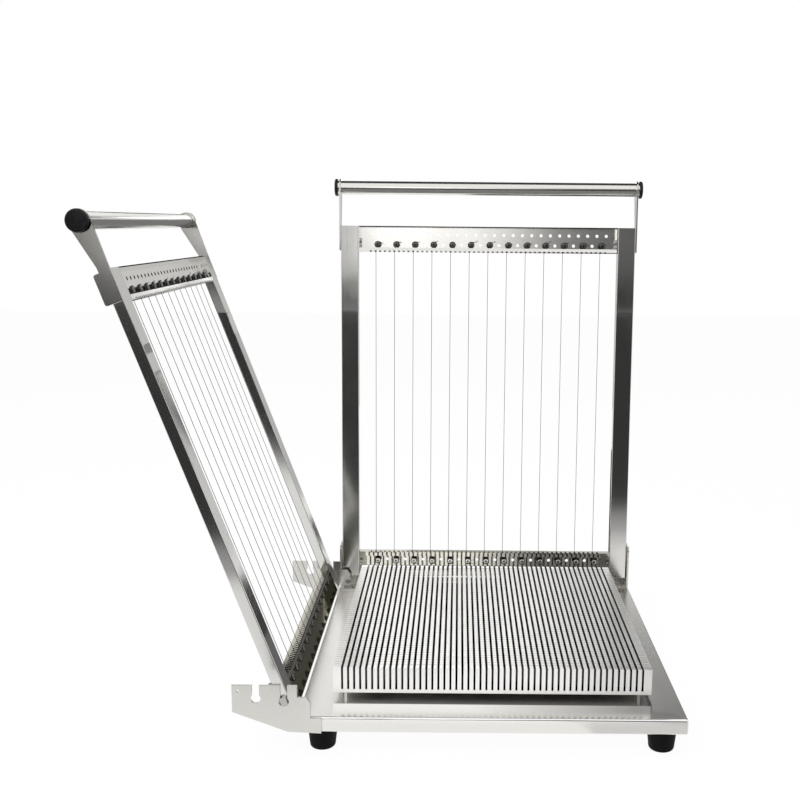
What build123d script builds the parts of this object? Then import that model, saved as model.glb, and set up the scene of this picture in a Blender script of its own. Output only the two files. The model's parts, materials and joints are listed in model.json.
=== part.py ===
# Guitar cutter with two wire frames, for slicing slabs of chocolate, ganache and jelly.
# Millimetres. +Z is up, +X is to the right and +Y is to the back of the machine.
# The layout starts at the middle of the cutting bed's top. At the end everything is moved so that
# the origin is at the middle of the machine's outline, on the surface that it stands on.

from build123d import *
from math import cos, radians, sin, sqrt
import os

# Cutting bed
bed_side = 398.0
bed_floor = 4.5
bed_rim = 10.0
slot_pitch = 7.5
slot_width = 2.6
cross_slot_width = 1.4
wire_floor_gap = 1.15

# Wires
slots_per_wire = 4
wire_diameter = 0.7

# Legs between the bed and the base
leg_height = 15.0
leg_diameter = 5.5
leg_edge_distance = 5.5
leg_spigot_diameter = 3.0
leg_spigot_length = 8.0

# Base pan
sheet = 2.0
bend_radius = 3.0
skirt_height = 20.0
return_flange_width = 48.0
base_behind_hinge = 31.0

# Feet
foot_height = 26.5
foot_top_diameter = 37.0
foot_bottom_diameter = 31.0
foot_rounding = 4.0
foot_side_inset = 29.0
foot_end_inset = 20.0
foot_recess_diameter = 14.0
foot_recess_depth = 9.0

# Hinges: the back axis lies higher, so that its closed frame lies over the closed left frame
base_edge_gap = 0.8
back_hinge_drop = 12.0
closed_gap = 1.0
left_lean = 20.5
back_lean = 2.2
pin_diameter = 11.8
pin_flats = 8.2
pin_proud = 1.0
pin_screw_gap = 3.5
neck_clearance = 0.3
running_clearance = 0.08

# Frame arms, measured from the hinge axis along the arm
arm_gap = 8.5
arm_width = 28.0
arm_thickness = 14.0
arm_wall = 1.5
arm_corner_radius = 1.2
arm_tail = 22.0
arm_foot_chamfer_width = 14.0
arm_foot_chamfer_height = 16.0
pivot_block_rise = 30.0
pivot_block_wall = 1.5
plug_head = 1.5
plug_depth = 8.0

# Bars of the frames: shallow trays, open towards the bed
top_bar_gap = 59.0
bar_height = 41.0
bar_wall = 1.5
lip_height = 7.0
top_lip_lean = 2.5
bottom_lip_lean = 0.0
notch_width = 3.2
notch_height = 2.5
notch_past_wire = 0.6
tension_row_rise = 12.0
spare_row_rise = 28.0
anchor_row_rise = 25.0
bar_screw_pitch = 8.0
bar_screw_drop = 2.0

# Handle
handle_rise = 60.5
handle_offset = 5.5
handle_diameter = 21.0
handle_wall = 1.5
handle_end_proud = 2.5
plate_thickness = 2.5
plate_eye_radius = 13.5
plate_neck_radius = 7.25
plate_neck_rise = 5.0
plate_tab_height = 38.0
plate_tab_proud = 8.0
plate_tab_radius = 3.0
cap_diameter = 27.0
cap_thickness = 5.0
cap_plug_length = 12.0
cap_edge_radius = 2.0
cap_dimple_diameter = 9.0
cap_dimple_depth = 0.6

# Hinge brackets of the left frame, measured from its hinge axis
bracket_thickness = 3.0
side_clearance = 0.5
keyhole_overcut = 1.0
bracket_rise = 20.5
bracket_outer_reach = 63.0
bracket_outer_height = 34.5
bracket_shoulder_reach = 16.4
bracket_step_clearance = 2.6
bracket_step_width = 11.0
bracket_corner_width = 4.7
bracket_corner_height = 6.4
bracket_lap = 30.0
bracket_bend_reach = 4.0
bracket_bend_height = 2.0
park_seat_reach = 34.0
park_seat_rise = 3.6
tag_hole_diameter = 3.2
tag_hole_inset = 7.5
bracket_edge_gap = 1.0
bracket_edge_rise = 1.0
rear_flange_lap = 6.0

# Ears of the back frame, and the foot flanges of the ears and of the rear bracket
ear_rise = 32.0
ear_gap = 0.5
ear_inset = 1.0
ear_top_radius = 8.0
ear_wall_height = 34.0
foot_flange_width = 26.0

# Stops that the open frames lean on
stop_diameter = 8.0
stop_length = 10.0
stop_rise = 20.0
stop_gap = 0.2

# Fasteners: thread diameter, head diameter, head height, nut width across flats, nut height
M3 = (3.0, 5.6, 2.0, 5.5, 2.4)
M4 = (4.0, 7.4, 2.6, 7.0, 3.2)
M5 = (5.0, 9.0, 2.8, 8.0, 4.0)
M6 = (6.0, 12.0, 4.0, 10.0, 5.0)
wire_fastener = M5
hole_clearance = 0.1
wire_clearance = 0.05
thread_past_nut = 1.0
wire_screw_neck = 7.0
bar_screw_length = 9.0

# Worked out from the sizes above
bed_half = bed_side / 2
left_hinge_drop = back_hinge_drop + arm_thickness + closed_gap
slot_depth = left_hinge_drop + wire_diameter / 2 + wire_floor_gap
bed_thickness = slot_depth + bed_floor
frame_inner = bed_half + arm_gap
frame_outer = frame_inner + arm_width
arm_middle = frame_inner + arm_width / 2
half_thickness = arm_thickness / 2
base_half = frame_outer + side_clearance + bracket_thickness
tail_swing = arm_tail * sin(radians(left_lean)) + half_thickness * cos(radians(left_lean))
hinge_distance = base_half + base_edge_gap + tail_swing
base_front = -(frame_outer + side_clearance)
base_back = hinge_distance + base_behind_hinge
base_top = -bed_thickness - leg_height
base_bottom = base_top - skirt_height
floor_level = base_bottom - foot_height
wire_pitch = slots_per_wire * slot_pitch
slot_reach = int((bed_half - bed_rim - slot_width / 2) / slot_pitch)
wire_reach = slot_reach // slots_per_wire
slot_places = [k * slot_pitch for k in range(-slot_reach, slot_reach + 1)]
wire_places = [k * wire_pitch for k in range(-wire_reach, wire_reach + 1)]
winding_offset = (wire_fastener[0] + wire_diameter) / 2 + wire_clearance
screw_places = [x + winding_offset for x in wire_places]
hole_pitch = wire_pitch / 2
hole_places = [k * hole_pitch + winding_offset for k in range(-2 * wire_reach, 2 * wire_reach + 1)]
spare_places = [hole_places[0] - hole_pitch / 2] + [x + hole_pitch / 2 for x in hole_places]
top_bar_bottom = hinge_distance + bed_half + top_bar_gap
frame_top = top_bar_bottom + bar_height
arm_reach = frame_top - plug_head
tension_row = top_bar_bottom + tension_row_rise
spare_row = top_bar_bottom + spare_row_rise
anchor_row = -arm_tail + anchor_row_rise
bar_screw_rows = [row - bar_screw_drop + rise for row in (anchor_row, tension_row)
                  for rise in (0, bar_screw_pitch)]
pin_shank_diameter = arm_thickness - 2 * arm_wall - 2 * pivot_block_wall
pin_shank_length = arm_width - bar_screw_length - pin_screw_gap
keyhole_neck = pin_flats + neck_clearance
plate_bottom = arm_reach - plate_tab_height
handle_reach = frame_top + handle_rise
ear_front = base_half + ear_gap
ear_back = base_back - ear_inset

left_place = Pos(-hinge_distance, 0, -left_hinge_drop) * Rot(0, 0, 90) * Rot(-left_lean, 0, 0)
back_place = Pos(0, hinge_distance, -back_hinge_drop) * Rot(-back_lean, 0, 0)


def block(x0, x1, y0, y1, z0, z1):
    """Box between two corners."""
    return Pos((x0 + x1) / 2, (y0 + y1) / 2, (z0 + z1) / 2) * Box(x1 - x0, y1 - y0, z1 - z0)


def rod(diameter, start, end):
    """Round bar between two points that lie on a line along X, Y or Z."""
    axis = Vector(*end) - Vector(*start)
    plane = Plane(origin=start, z_dir=axis)
    return extrude(plane * Circle(diameter / 2), axis.length)


def nut(size, start, direction):
    """Hexagon nut whose seat is centred on start and which stands up along direction."""
    across_corners = size[3] / sqrt(3)
    outline = RegularPolygon(across_corners, 6) - Circle(size[0] / 2 + hole_clearance / 2)
    return extrude(Plane(origin=start, z_dir=direction) * outline, size[4])


def screw(size, seat, direction, length):
    """Pan-head screw: the head stands on its seat, and the shank runs along direction."""
    seat = Vector(*seat)
    direction = Vector(*direction)
    head = rod(size[1], seat - direction * size[2], seat)
    head = fillet(head.edges().filter_by(GeomType.CIRCLE).sort_by_distance(seat)[-1], size[2] * 0.45)
    return head + rod(size[0], seat, seat + direction * length)


def group(solids):
    """Several loose solids that share one node."""
    return Compound(children=list(solids))


def cutting_bed():
    """Slab with a slot for every wire place one way and for the left frame's wires the other way."""
    points = [(-bed_half, -bed_thickness), (-bed_half, 0)]
    for x in slot_places:
        points += [(x - slot_width / 2, 0), (x - slot_width / 2, -slot_depth)]
        points += [(x + slot_width / 2, -slot_depth), (x + slot_width / 2, 0)]
    points += [(bed_half, 0), (bed_half, -bed_thickness)]
    ribs = extrude(Plane.XZ * make_face(Polyline(*points, close=True)), bed_half, both=True)
    cross_slots = [block(-bed_half, bed_half, y - cross_slot_width / 2, y + cross_slot_width / 2,
                         -slot_depth, 0) for y in wire_places]
    sockets = [rod(leg_spigot_diameter + hole_clearance, (x, y, -bed_thickness),
                   (x, y, -bed_thickness + leg_spigot_length)) for x, y in leg_places()]
    return ribs - cross_slots - sockets


def leg_places():
    """Legs stand under the end ribs, half way between two slots."""
    x = slot_places[-2] + slot_pitch / 2
    y = bed_half - leg_edge_distance
    return [(sx * x, sy * y) for sx in (-1, 1) for sy in (-1, 1)]


def bed_leg(x, y):
    """Turned pillar with a spigot up into the bed and a thread down through the base."""
    pillar = rod(leg_diameter, (x, y, base_top), (x, y, -bed_thickness))
    spigot = rod(leg_spigot_diameter, (x, y, -bed_thickness), (x, y, -bed_thickness + leg_spigot_length))
    thread_end = base_top - sheet - M3[4] - thread_past_nut
    return pillar + spigot + rod(M3[0], (x, y, thread_end), (x, y, base_top))


def foot_places():
    """Feet stand near the four corners of the base."""
    return [(sx * (base_half - foot_side_inset), y) for sx in (-1, 1)
            for y in (base_front + foot_end_inset, base_back - foot_end_inset)]


def rubber_foot(x, y):
    """Tapered foot with a rounded tread and a recess for its screw."""
    cone = Cone(foot_bottom_diameter / 2, foot_top_diameter / 2, foot_height,
                align=(Align.CENTER, Align.CENTER, Align.MIN))
    cone = fillet(cone.edges().group_by(Axis.Z)[0], foot_rounding)
    cone -= rod(foot_recess_diameter, (0, 0, 0), (0, 0, foot_recess_depth))
    cone -= rod(M6[0] + 2 * hole_clearance, (0, 0, 0), (0, 0, foot_height))
    return Pos(x, y, floor_level) * cone


def foot_screw(x, y):
    """Screw up through the foot and the pan's return flange."""
    seat = floor_level + foot_recess_depth
    length = foot_height - foot_recess_depth + sheet + M6[4] + thread_past_nut
    return screw(M6, (x, y, seat), (0, 0, 1), length)


def flange_screw_places():
    """Screws in the foot flanges of the ears and of the rear bracket, two in each."""
    inner = frame_outer + side_clearance - foot_flange_width / 2
    ear_middle = (ear_front + ear_back) / 2
    pitch = foot_flange_width / 2
    places = [(side * inner, ear_middle + shift * pitch) for side in (-1, 1) for shift in (-0.5, 0.5)]
    middle = rear_flange_middle()
    return places + [(middle + shift * pitch, inner) for shift in (-0.5, 0.5)]


def rear_flange_middle():
    """Middle of the rear bracket's foot flange, along X."""
    step_end = -hinge_distance + bracket_shoulder_reach + bracket_step_width
    return step_end - rear_flange_lap + foot_flange_width / 2


def base_pan():
    """Folded pan: flat top, skirt all round, and a return flange at the foot of the skirt."""
    pan = block(-base_half, base_half, base_front, base_back, base_bottom, base_top)
    pan = fillet(pan.edges(), bend_radius)
    hollow = block(-base_half + sheet, base_half - sheet, base_front + sheet, base_back - sheet,
                   base_bottom + sheet, base_top - sheet)
    pan -= fillet(hollow.edges(), bend_radius - sheet)
    margin = return_flange_width
    pan -= block(-base_half + margin, base_half - margin, base_front + margin, base_back - margin,
                 base_bottom, base_bottom + sheet)
    for x, y in leg_places():
        pan -= rod(M3[0] + 2 * hole_clearance, (x, y, base_top - sheet), (x, y, base_top))
    for x, y in flange_screw_places():
        pan -= rod(M5[0] + 2 * hole_clearance, (x, y, base_top - sheet), (x, y, base_top))
    for x, y in foot_places():
        pan -= rod(M6[0] + 2 * hole_clearance, (x, y, base_bottom), (x, y, base_bottom + sheet))
    return pan


def keyhole(x, z, top):
    """Round seat with an open neck that runs straight up past the plate's top edge."""
    seat = Pos(x, z) * Circle(pin_diameter / 2 + running_clearance)
    neck_top = top + keyhole_overcut
    return seat + Pos(x, (z + neck_top) / 2) * Rectangle(keyhole_neck, neck_top - z)


def bracket_outline(low_points):
    """Left hinge bracket in X and Z: two keyholes, a stepped inner end and a sloping outer end."""
    axis_x = -hinge_distance
    axis_z = -left_hinge_drop
    top = axis_z + bracket_rise
    outer = axis_x - bracket_outer_reach
    shoulder = axis_x + bracket_shoulder_reach
    step_top = -back_hinge_drop - half_thickness - bracket_step_clearance
    step_end = shoulder + bracket_step_width
    inner = step_end + bracket_corner_width
    points = [(outer, top - bracket_outer_height), (outer, top), (shoulder, top), (shoulder, step_top),
              (step_end, step_top), (inner, step_top - bracket_corner_height), (inner, base_top)]
    plate = make_face(Polyline(*points, *low_points, close=True))
    plate -= keyhole(axis_x, axis_z, top)
    plate -= keyhole(axis_x - park_seat_reach, axis_z + park_seat_rise, top)
    plate -= Pos(outer + tag_hole_inset, top - tag_hole_inset) * Circle(tag_hole_diameter / 2)
    return plate


def left_front_bracket():
    """Bracket that lies on the front skirt and carries the near end of the left frame."""
    bend = -hinge_distance + bracket_bend_reach
    lap = -base_half + bracket_lap
    low = [(lap, base_top), (lap, base_bottom), (bend, base_bottom + bracket_bend_height)]
    return extrude(Plane.XZ.offset(-base_front) * bracket_outline(low), bracket_thickness)


def left_rear_bracket():
    """Bracket that stands on the base with a foot flange and carries the far end of the left frame."""
    edge = -base_half - bracket_edge_gap
    bend = -hinge_distance + bracket_bend_reach
    low = [(edge, base_top), (edge, base_bottom + bracket_bend_height + bracket_edge_rise),
           (bend, base_bottom + bracket_bend_height)]
    inner_face = frame_outer + side_clearance
    plate = extrude(Plane.XZ.offset(-inner_face) * bracket_outline(low), -bracket_thickness)
    middle = rear_flange_middle()
    flange = block(middle - foot_flange_width / 2, middle + foot_flange_width / 2,
                   inner_face - foot_flange_width, inner_face + bracket_thickness,
                   base_top, base_top + bracket_thickness)
    return drill_flange(plate + flange)


def drill_flange(part):
    """Holes for the screws that hold a foot flange to the base."""
    for x, y in flange_screw_places():
        part -= rod(M5[0] + 2 * hole_clearance, (x, y, base_top), (x, y, base_top + bracket_thickness))
    return part


def back_ear(side):
    """Ear of the back frame: a side plate with a keyhole, a foot flange and a low wall behind the arm."""
    axis_z = -back_hinge_drop
    top = axis_z + ear_rise
    corners = [(ear_front, base_top), (ear_back, base_top), (ear_back, top), (ear_front, top)]
    outline = make_face(Polyline(*corners, close=True))
    outline = fillet(outline.vertices().group_by(Axis.Y)[-1], ear_top_radius)
    outline -= keyhole(hinge_distance, axis_z, top)
    inner_face = frame_outer + side_clearance
    start = inner_face if side > 0 else -inner_face - bracket_thickness
    plate = extrude(Plane.YZ.offset(start) * outline, bracket_thickness)
    x_low, x_high = sorted((side * (inner_face - foot_flange_width), side * (inner_face + bracket_thickness)))
    flange = block(x_low, x_high, ear_front, ear_back, base_top, base_top + bracket_thickness)
    wall = block(x_low, x_high, ear_back - bracket_thickness, ear_back, base_top, base_top + ear_wall_height)
    return drill_flange(plate + flange + wall)


def stop_studs():
    """Studs welded to the brackets and ears, behind the arms of each open frame."""
    outward = half_thickness + stop_diameter / 2 + stop_gap
    end = frame_outer + side_clearance
    studs = []
    for place in (left_place, back_place):
        for side in (-1, 1):
            stud = rod(stop_diameter, (side * (end - stop_length), outward, stop_rise),
                       (side * end, outward, stop_rise))
            studs.append(place * stud)
    return studs


def arm_foot_wedge(side):
    """Corner that is cut off the lower end of an arm, on the same side of both arms."""
    edge = side * arm_middle - arm_width / 2
    points = [(edge, -arm_tail), (edge + arm_foot_chamfer_width, -arm_tail),
              (edge, -arm_tail + arm_foot_chamfer_height)]
    wedge = make_face(Polyline(*points, close=True))
    return extrude(Plane.XZ * wedge, arm_thickness, both=True)


def bar_screw_holes(side, start, end):
    """Clearance holes for the screws that hold the bars to one arm."""
    diameter = M4[0] + 2 * hole_clearance
    return [rod(diameter, (side * start, 0, z), (side * end, 0, z)) for z in bar_screw_rows]


def arm(side):
    """Polished rectangular tube, from below the hinge axis up to the handle."""
    tube = block(-arm_width / 2, arm_width / 2, -half_thickness, half_thickness, -arm_tail, arm_reach)
    tube = fillet(tube.edges().filter_by(Axis.Z), arm_corner_radius)
    tube -= block(-arm_width / 2 + arm_wall, arm_width / 2 - arm_wall, -half_thickness + arm_wall,
                  half_thickness - arm_wall, -arm_tail, arm_reach)
    tube = Pos(side * arm_middle, 0, 0) * tube
    tube -= arm_foot_wedge(side)
    tube -= rod(pin_shank_diameter + 2 * hole_clearance, (side * (frame_outer - arm_wall), 0, 0),
                (side * frame_outer, 0, 0))
    return tube - bar_screw_holes(side, frame_inner, frame_inner + arm_wall)


def pivot_block(side):
    """Solid block inside the lower end of an arm, which holds the pivot pin."""
    inner = frame_inner + arm_wall
    outer = frame_outer - arm_wall
    x_low, x_high = sorted((side * inner, side * outer))
    solid = block(x_low, x_high, -half_thickness + arm_wall, half_thickness - arm_wall, -arm_tail,
                  pivot_block_rise)
    solid -= arm_foot_wedge(side)
    solid -= rod(pin_shank_diameter + 2 * hole_clearance, (side * (frame_outer - pin_shank_length), 0, 0),
                 (side * outer, 0, 0))
    return solid - bar_screw_holes(side, inner, frame_inner + bar_screw_length)


def pivot_pin(side):
    """Stub pin with two flats, so that an upright frame can be lifted out through the keyhole neck."""
    end = frame_outer + side_clearance + bracket_thickness + pin_proud
    journal = rod(pin_diameter, (side * frame_outer, 0, 0), (side * end, 0, 0))
    keep = block(-end, end, -pin_flats / 2, pin_flats / 2, -pin_diameter, pin_diameter)
    shank_end = frame_outer - pin_shank_length
    shank = rod(pin_shank_diameter, (side * shank_end, 0, 0), (side * frame_outer, 0, 0))
    return (journal & keep) + shank


def arm_plug(side):
    """Plug that closes the upper end of an arm."""
    head = block(-arm_width / 2, arm_width / 2, -half_thickness, half_thickness, arm_reach, frame_top)
    head = fillet(head.edges().filter_by(Axis.Z), arm_corner_radius)
    stem = block(-arm_width / 2 + arm_wall, arm_width / 2 - arm_wall, -half_thickness + arm_wall,
                 half_thickness - arm_wall, arm_reach - plug_depth, arm_reach)
    return Pos(side * arm_middle, 0, 0) * (head + stem)


def comb_lip(flange, rise, lean):
    """Lip along a bar, which leans from the open edge of its comb flange in over the tray."""
    edge = -half_thickness
    points = [(edge, flange), (edge + bar_wall, flange), (edge + bar_wall + lean, flange + rise),
              (edge + lean, flange + rise)]
    return extrude(Plane.YZ * make_face(Polyline(*points, close=True)), frame_inner, both=True)


def wire_bar(bottom, flange, inwards, lean, holes):
    """Tray-shaped bar: one flange has a lip and a comb of notches, and the web has rows of holes."""
    top = bottom + bar_height
    tray = block(-frame_inner, frame_inner, -half_thickness, half_thickness, bottom, top)
    tray -= block(-frame_inner + bar_wall, frame_inner - bar_wall, -half_thickness,
                  half_thickness - bar_wall, bottom + bar_wall, top - bar_wall)
    tray += comb_lip(flange, inwards * lip_height, lean)
    notch_low, notch_high = sorted((flange, flange + inwards * notch_height))
    notches = [block(x - notch_width / 2, x + notch_width / 2, -half_thickness,
                     wire_diameter / 2 + notch_past_wire, notch_low, notch_high) for x in slot_places]
    web_hole = wire_fastener[0] + 2 * hole_clearance
    web_holes = [rod(web_hole, (x, half_thickness - bar_wall, z), (x, half_thickness, z))
                 for z, places in holes for x in places]
    end_hole = M4[0] + 2 * hole_clearance
    end_holes = [rod(end_hole, (side * (frame_inner - bar_wall), 0, z), (side * frame_inner, 0, z))
                 for side in (-1, 1) for z in bar_screw_rows if bottom < z < top]
    return tray - notches - web_holes - end_holes


def wire(x):
    """Straight cutting wire, from the winding on its anchor screw to that on its tension screw."""
    return rod(wire_diameter, (x, 0, anchor_row), (x, 0, tension_row))


def wire_screw(x, z):
    """Screw through a bar's web, with a long neck for the wire to be wound on."""
    seat = half_thickness - bar_wall - wire_screw_neck
    length = wire_screw_neck + bar_wall + wire_fastener[4] + thread_past_nut
    return screw(wire_fastener, (x, seat, z), (0, 1, 0), length)


def bar_screw(side, z):
    """Screw through a bar's end tab into an arm."""
    return screw(M4, (side * (frame_inner - bar_wall), 0, z), (side, 0, 0), bar_wall + bar_screw_length)


def handle_plate(side):
    """Side plate: an eye for the handle tube, a slim neck and a tab that laps over the arm."""
    eye = Pos(handle_offset, handle_reach) * Circle(plate_eye_radius)
    neck_middle = plate_neck_radius - half_thickness
    neck = Pos(neck_middle, frame_top + plate_neck_rise) * Circle(plate_neck_radius)
    outline = make_hull(eye.edges() + neck.edges())
    tab_width = arm_thickness + plate_tab_proud
    tab = Pos(plate_tab_proud / 2, plate_bottom + plate_tab_height / 2) * RectangleRounded(
        tab_width, plate_tab_height, plate_tab_radius)
    bridge = Pos(neck_middle, frame_top) * Rectangle(2 * plate_neck_radius, 2 * plate_neck_rise)
    outline = outline + tab + bridge
    outline -= Pos(handle_offset, handle_reach) * Circle(handle_diameter / 2 + hole_clearance)
    start = frame_outer if side > 0 else -frame_outer - plate_thickness
    return extrude(Plane.YZ.offset(start) * outline, plate_thickness)


def handle_tube():
    """Round tube that joins the two side plates."""
    half = frame_outer + plate_thickness + handle_end_proud
    start = (-half, handle_offset, handle_reach)
    end = (half, handle_offset, handle_reach)
    return rod(handle_diameter, start, end) - rod(handle_diameter - 2 * handle_wall, start, end)


def handle_cap(side):
    """Push-in cap with a rounded rim and a shallow dimple."""
    tube_end = frame_outer + plate_thickness + handle_end_proud

    def on_axis(distance):
        return (side * (tube_end + distance), handle_offset, handle_reach)

    disc = rod(cap_diameter, on_axis(0), on_axis(cap_thickness))
    outer_edge = disc.edges().filter_by(GeomType.CIRCLE).sort_by_distance(on_axis(0))[-1]
    disc = fillet(outer_edge, cap_edge_radius)
    disc -= rod(cap_dimple_diameter, on_axis(cap_thickness - cap_dimple_depth), on_axis(cap_thickness))
    stem_diameter = handle_diameter - 2 * handle_wall - hole_clearance
    return disc + rod(stem_diameter, on_axis(-cap_plug_length), on_axis(0))


def frame_nodes(name, place):
    """All nodes of one wire frame. Built upright about its hinge axis, then leaned and put in place."""
    sides = (-1, 1)
    nut_seat = half_thickness
    bottom_bar = -arm_tail
    nodes = {
        "near_arm": arm(-1),
        "far_arm": arm(1),
        "pivot_blocks": [pivot_block(side) for side in sides],
        "pivot_pins": [pivot_pin(side) for side in sides],
        "arm_plugs": [arm_plug(side) for side in sides],
        "top_bar": wire_bar(top_bar_bottom, top_bar_bottom, 1, top_lip_lean,
                            [(tension_row, hole_places), (spare_row, spare_places)]),
        "bottom_bar": wire_bar(bottom_bar, bottom_bar + bar_height, -1, bottom_lip_lean,
                               [(anchor_row, hole_places)]),
        "wires": [wire(x) for x in wire_places],
        "tension_screws": [wire_screw(x, tension_row) for x in screw_places],
        "tension_nuts": [nut(wire_fastener, (x, nut_seat, tension_row), (0, 1, 0)) for x in screw_places],
        "anchor_screws": [wire_screw(x, anchor_row) for x in screw_places],
        "anchor_nuts": [nut(wire_fastener, (x, nut_seat, anchor_row), (0, 1, 0)) for x in screw_places],
        "bar_screws": [bar_screw(side, z) for side in sides for z in bar_screw_rows],
        "near_handle_plate": handle_plate(-1),
        "far_handle_plate": handle_plate(1),
        "handle_tube": handle_tube(),
        "handle_caps": [handle_cap(side) for side in sides],
    }
    placed = {}
    for key, shape in nodes.items():
        if isinstance(shape, list):
            placed[f"{name}_{key}"] = [place * solid for solid in shape]
        else:
            placed[f"{name}_{key}"] = [place * shape]
    return placed


def base_nodes():
    """All nodes that stand still: the base, its feet, the bed and the hinge brackets."""
    screw_top = base_top + bracket_thickness
    screw_length = bracket_thickness + sheet + M5[4] + thread_past_nut
    return {
        "base_pan": [base_pan()],
        "rubber_feet": [rubber_foot(x, y) for x, y in foot_places()],
        "foot_screws": [foot_screw(x, y) for x, y in foot_places()],
        "foot_nuts": [nut(M6, (x, y, base_bottom + sheet), (0, 0, 1)) for x, y in foot_places()],
        "cutting_bed": [cutting_bed()],
        "bed_legs": [bed_leg(x, y) for x, y in leg_places()],
        "bed_leg_nuts": [nut(M3, (x, y, base_top - sheet), (0, 0, -1)) for x, y in leg_places()],
        "left_front_bracket": [left_front_bracket()],
        "left_rear_bracket": [left_rear_bracket()],
        "back_left_ear": [back_ear(-1)],
        "back_right_ear": [back_ear(1)],
        "stop_studs": stop_studs(),
        "bracket_screws": [screw(M5, (x, y, screw_top), (0, 0, -1), screw_length)
                           for x, y in flange_screw_places()],
        "bracket_nuts": [nut(M5, (x, y, base_top - sheet), (0, 0, -1)) for x, y in flange_screw_places()],
    }


def build():
    """Every node by name, moved so that the origin is under the middle of the outline."""
    nodes = base_nodes()
    nodes.update(frame_nodes("left", left_place))
    nodes.update(frame_nodes("back", back_place))
    boxes = [solid.bounding_box() for solids in nodes.values() for solid in solids]
    middle_x = (min(b.min.X for b in boxes) + max(b.max.X for b in boxes)) / 2
    middle_y = (min(b.min.Y for b in boxes) + max(b.max.Y for b in boxes)) / 2
    to_origin = Pos(-middle_x, -middle_y, -floor_level)
    return {name: [to_origin * solid for solid in solids] for name, solids in nodes.items()}, to_origin


nodes, to_origin = build()
os.makedirs("parts", exist_ok=True)
for name, solids in nodes.items():
    shape = solids[0] if len(solids) == 1 else group(solids)
    export_step(shape, f"parts/{name}.step")
print(len(nodes), "nodes,", sum(len(solids) for solids in nodes.values()), "solids")
print("moved by", [round(v, 3) for v in to_origin.position])
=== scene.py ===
"""Finished looks of a table-top guitar cutter.

A slotted bed stands on a folded base, and two wire frames swing down on it. Everything is in metres, in the
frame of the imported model: +X right, +Y back, +Z up.
"""

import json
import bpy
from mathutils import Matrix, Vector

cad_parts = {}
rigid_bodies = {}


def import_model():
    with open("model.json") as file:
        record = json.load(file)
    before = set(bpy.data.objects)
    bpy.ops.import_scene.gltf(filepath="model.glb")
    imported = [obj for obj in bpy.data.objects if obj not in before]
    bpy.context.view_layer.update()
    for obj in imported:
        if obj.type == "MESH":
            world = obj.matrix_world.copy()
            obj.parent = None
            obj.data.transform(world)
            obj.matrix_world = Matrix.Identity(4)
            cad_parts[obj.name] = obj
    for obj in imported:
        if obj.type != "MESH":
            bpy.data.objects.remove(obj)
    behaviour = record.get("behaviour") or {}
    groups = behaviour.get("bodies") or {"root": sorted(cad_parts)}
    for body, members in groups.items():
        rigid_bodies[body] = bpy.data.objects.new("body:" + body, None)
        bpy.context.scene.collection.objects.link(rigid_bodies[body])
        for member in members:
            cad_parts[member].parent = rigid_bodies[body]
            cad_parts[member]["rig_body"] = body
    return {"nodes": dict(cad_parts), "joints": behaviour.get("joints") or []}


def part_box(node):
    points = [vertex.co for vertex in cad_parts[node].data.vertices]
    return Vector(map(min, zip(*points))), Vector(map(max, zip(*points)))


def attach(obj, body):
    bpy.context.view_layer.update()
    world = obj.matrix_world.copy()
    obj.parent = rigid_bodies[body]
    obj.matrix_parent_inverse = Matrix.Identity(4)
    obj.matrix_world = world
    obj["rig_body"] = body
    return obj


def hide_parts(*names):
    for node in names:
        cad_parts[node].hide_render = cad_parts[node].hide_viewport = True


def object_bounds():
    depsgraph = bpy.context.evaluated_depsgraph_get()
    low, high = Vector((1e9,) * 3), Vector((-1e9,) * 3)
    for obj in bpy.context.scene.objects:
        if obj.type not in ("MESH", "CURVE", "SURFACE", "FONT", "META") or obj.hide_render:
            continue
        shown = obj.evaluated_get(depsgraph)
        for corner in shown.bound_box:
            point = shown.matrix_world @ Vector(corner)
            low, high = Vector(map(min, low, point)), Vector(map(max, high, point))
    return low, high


bl_info = {
    "name": "Guitar cutter looks",
    "version": (1, 0, 0),
    "blender": (4, 5, 0),
    "location": "3D View > Sidebar > Cutter",
    "description": "Bed posts, folded sheet, wire windings, screws, finishes and studio of a guitar cutter",
    "category": "Object",
}

from math import cos, pi, radians, sin
from typing import NamedTuple

import bmesh
import bpy
import numpy as np
from mathutils import Matrix, Vector

for leftover in list(bpy.data.objects):
    bpy.data.objects.remove(leftover)
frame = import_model()
CAD_LOW, CAD_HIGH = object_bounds()
NODES = frame["nodes"]
JOINTS = {joint["child"]: joint for joint in frame["joints"]}
FRAME_NAMES = ("left", "back")
MM = 0.001
# Places that are closer together than this count as one
HAIR = 1e-6
WHITE = (1.0, 1.0, 1.0, 1.0)
# Turns that lay the streaks of a finish along one axis
ALONG_X = (0.0, radians(90), 0.0)
ALONG_Y = (radians(-90), 0.0, 0.0)
ALONG_Z = (0.0, 0.0, 0.0)


def length(name, description, millimetres):
    """A length that a user may change, stored in metres."""
    return bpy.props.FloatProperty(name=name, description=description, default=millimetres * MM,
                                   min=0.0, precision=5, subtype="DISTANCE", unit="LENGTH")


def colour(name, description, red, green, blue):
    """A linear colour that a user may change."""
    return bpy.props.FloatVectorProperty(name=name, description=description, default=(red, green, blue),
                                         min=0.0, max=1.0, size=3, subtype="COLOR")


def turn(name, description, degrees):
    """An angle that a user may change, stored in radians."""
    return bpy.props.FloatProperty(name=name, description=description, default=radians(degrees),
                                   subtype="ANGLE", unit="ROTATION")


def plain(name, description, value, low=0.0):
    """A plain number that a user may change."""
    return bpy.props.FloatProperty(name=name, description=description, default=value, min=low)


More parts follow.
